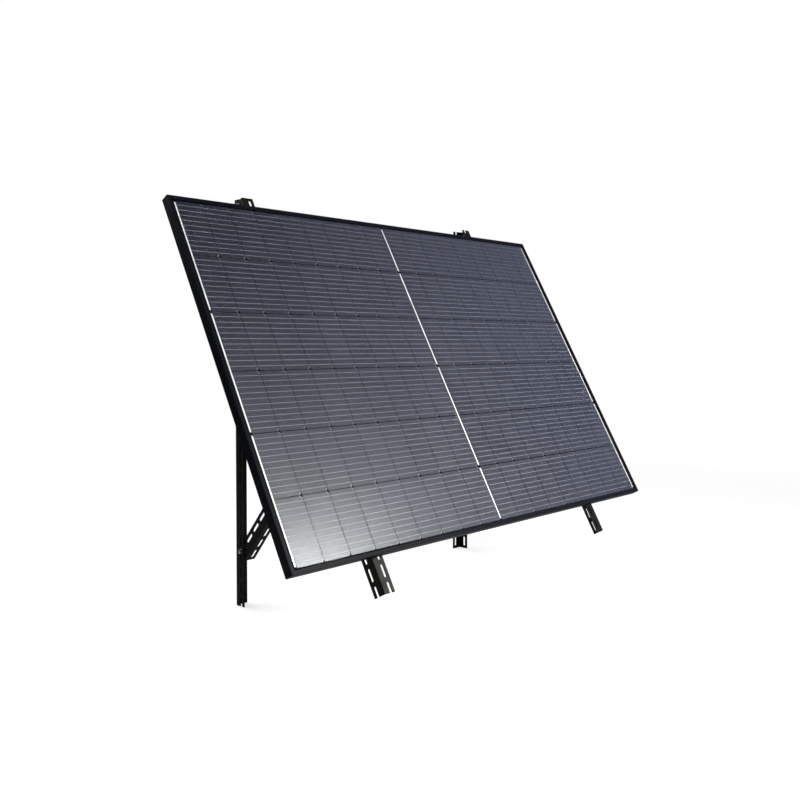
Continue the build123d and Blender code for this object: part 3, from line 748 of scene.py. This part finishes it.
def cell_wire_runs():
    """Each cell's own wires. At its outer edge a wire goes down through the gap, behind the next cell."""
    vertices, faces = [], []
    behind = CELL_BACK + CELL_TO_WIRE
    front = WIRE_FRONT + FILM_TO_WIRE
    ribbon = BUS_WIDTH / 2
    inner = CENTRE_GAP / 2
    lead = [(ribbon, front), (ribbon + LEAD_FLAT, front)]
    lead += [(inner - LEAD_END, behind), (inner + LEAD_REACH, behind)]
    runs = [lead]
    for column in range(COLUMNS):
        inner = CENTRE_GAP / 2 + column * COLUMN_PITCH
        outer = inner + CELL_WIDTH
        run = [(inner + WIRE_INSET, front)]
        if column < COLUMNS - 1:
            run += [(outer - DIP_START, front), (outer + DIP_END, behind), (outer + DIP_REACH, behind)]
        else:
            run.append((BUS_X - ribbon, front))
        runs.append(run)
    for side in (-1, 1):
        for row in range(ROWS):
            for wire in range(WIRES_PER_CELL):
                up = ROW_EDGE + row * ROW_PITCH + CELL_HEIGHT / 2
                up += (wire - (WIRES_PER_CELL - 1) / 2) * WIRE_PITCH
                for run in runs:
                    wire_run(vertices, faces, [(side * x, up, depth) for x, depth in run])
    build("cell_wires_detailed", vertices, faces, SLOT_OF["cell_wires"], "module", ["cell_wires"])


cell_wire_runs()
film("front_film", "front_encapsulant", GLASS_BACK, WIRE_FRONT)
film("rear_film", "rear_encapsulant", CELL_BACK, SHEET_FRONT)


def rounded_outline(width, height, corner):
    """Points round a rectangle with round corners."""
    points = []
    for quarter, (sign_x, sign_y) in enumerate(((1, 1), (-1, 1), (-1, -1), (1, -1))):
        centre_x = sign_x * (width / 2 - corner)
        centre_y = sign_y * (height / 2 - corner)
        for step in range(CORNER_STEPS + 1):
            turn = math.pi / 2 * (quarter + step / CORNER_STEPS)
            points.append((centre_x + corner * math.cos(turn), centre_y + corner * math.sin(turn)))
    return points


def sealant_bead(name, up):
    """The squeezed-out bead of silicone round a junction box."""
    solid = Solid()
    rings = []
    random = np.random.default_rng(round(up * 1000))
    # One value for each point of the outline, smoothed over five of them.
    uneven = random.standard_normal(4 * (CORNER_STEPS + 1))
    swell = 1 + BEAD_SWELL * np.convolve(uneven, np.ones(5) / 5, "same")
    for grown, lift in BEAD_PROFILE:
        offset = grown * BEAD_WIDTH
        width = BOX_WIDTH + 2 * offset
        height = BOX_HEIGHT + 2 * offset
        outline = rounded_outline(width, height, BOX_CORNER + offset)
        ring = []
        for (x, y), scale in zip(outline, swell):
            depth = SHEET_BACK + lift * BEAD_HEIGHT * scale
            ring.append(in_module(x, up + y, depth))
        rings.append(solid.ring(ring))
    solid.tube(rings, closed=True)
    build(name, solid.points, solid.faces, "black_silicone", "module")


for place, row in (("lower", 1), ("middle", 3), ("upper", 5)):
    gap_middle = ROW_EDGE + row * ROW_PITCH - (ROW_PITCH - CELL_HEIGHT) / 2
    sealant_bead(f"{place}_box_sealant", gap_middle)


# ================================================================ floor, light and camera
def floor():
    """A pale floor that fades into the background. Its glow is for the camera alone."""
    bpy.ops.mesh.primitive_circle_add(vertices=96, radius=FLOOR_RADIUS, fill_type="NGON")
    piece = bpy.context.object
    piece.name = "floor"
    piece.location = (0, -0.3, -FLOOR_DROP)
    tree = Tree("floor", Specular_IOR_Level=0.1, Emission_Color=(1, 1, 1, 1))
    seen = tree.add("ShaderNodeLightPath").outputs["Is Camera Ray"]
    tree.set(tree.shader, "Emission Strength", tree.maths("MULTIPLY", seen, FLOOR_GLOW))
    grain = tree.noise(60, detail=4)
    tree.colour(tree.mix(grain, (0.38, 0.38, 0.38), (0.41, 0.41, 0.41)))
    tree.rough(tree.remap(grain, 0.3, 0.7, 0.7, 0.85))
    length = tree.add("ShaderNodeVectorMath", {0: tree.place()}, operation="LENGTH")
    distance = length.outputs["Value"]
    shown = tree.remap(distance, 0.35 * FLOOR_RADIUS, 0.95 * FLOOR_RADIUS, 1.0, 0.0)
    tree.set(tree.shader, "Alpha", shown)
    piece.data.materials.append(tree.material)


def soft_light(name, position, target, size, power, colour):
    """A rectangular lamp that faces its target."""
    data = bpy.data.lights.new(name, "AREA")
    data.shape = "RECTANGLE"
    data.size, data.size_y = size
    data.energy = power
    data.color = colour
    light = bpy.data.objects.new(name, data)
    bpy.context.scene.collection.objects.link(light)
    light.location = position
    aim = Vector(target) - Vector(position)
    light.rotation_euler = aim.to_track_quat("-Z", "Y").to_euler()


BRIGHT_SIDE = Vector((0.84, -0.53, 0.10)).normalized()


def world():
    """White for the camera, and a soft studio with a brighter front right for everything else."""
    studio = bpy.data.worlds.new("studio")
    bpy.context.scene.world = studio
    studio.use_nodes = True
    nodes, links = studio.node_tree.nodes, studio.node_tree.links
    nodes.clear()
    output = nodes.new("ShaderNodeOutputWorld")
    white = nodes.new("ShaderNodeBackground")
    white.inputs[0].default_value = (1.0, 1.0, 1.0, 1.0)
    room = nodes.new("ShaderNodeBackground")
    place = nodes.new("ShaderNodeTexCoord")
    facing = nodes.new("ShaderNodeVectorMath")
    facing.operation = "DOT_PRODUCT"
    facing.inputs[1].default_value = BRIGHT_SIDE
    ramp = nodes.new("ShaderNodeValToRGB")
    ramp.color_ramp.interpolation = "EASE"
    ramp.color_ramp.elements[0].position = 0.53
    ramp.color_ramp.elements[0].color = (0.033, 0.035, 0.044, 1)
    ramp.color_ramp.elements[1].position = 1.0
    ramp.color_ramp.elements[1].color = (0.29, 0.315, 0.50, 1)
    choose = nodes.new("ShaderNodeMixShader")
    path = nodes.new("ShaderNodeLightPath")
    links.new(place.outputs["Generated"], facing.inputs[0])
    links.new(facing.outputs["Value"], ramp.inputs[0])
    links.new(ramp.outputs[0], room.inputs[0])
    links.new(path.outputs["Is Camera Ray"], choose.inputs[0])
    links.new(room.outputs[0], choose.inputs[1])
    links.new(white.outputs[0], choose.inputs[2])
    links.new(choose.outputs[0], output.inputs[0])


floor()
world()
LOWER_LEFT = in_module(-WIDTH / 2, 0, 0)
# Close to where the module's face mirrors the camera's view of this corner, so the corner glows.
GLOW = Vector((0.578, -0.711, 0.400)).normalized()
low_place = LOWER_LEFT + GLOW * SOFTBOX_AWAY
soft_light("low_softbox", low_place, LOWER_LEFT, (0.6, 0.6), 116, (1.0, 0.95, 0.87))
soft_light("back_softbox", (-1.0, 3.5, 4.0), (0, 0, 0), (5.0, 4.0), 320, (1.0, 1.0, 1.0))

camera_data = bpy.data.cameras.new("camera")
camera_data.sensor_width = 36.0
camera_data.lens = 39.77
camera_data.shift_x = -0.0006
camera_data.shift_y = -0.0388
camera = bpy.data.objects.new("camera", camera_data)
bpy.context.scene.collection.objects.link(camera)
camera.location = (-2.238, -2.313, 0.836)
camera.rotation_euler = Vector((0.726, 0.687, -0.0284)).to_track_quat("-Z", "Y").to_euler()
bpy.context.scene.camera = camera
bpy.context.scene.view_settings.view_transform = "Standard"
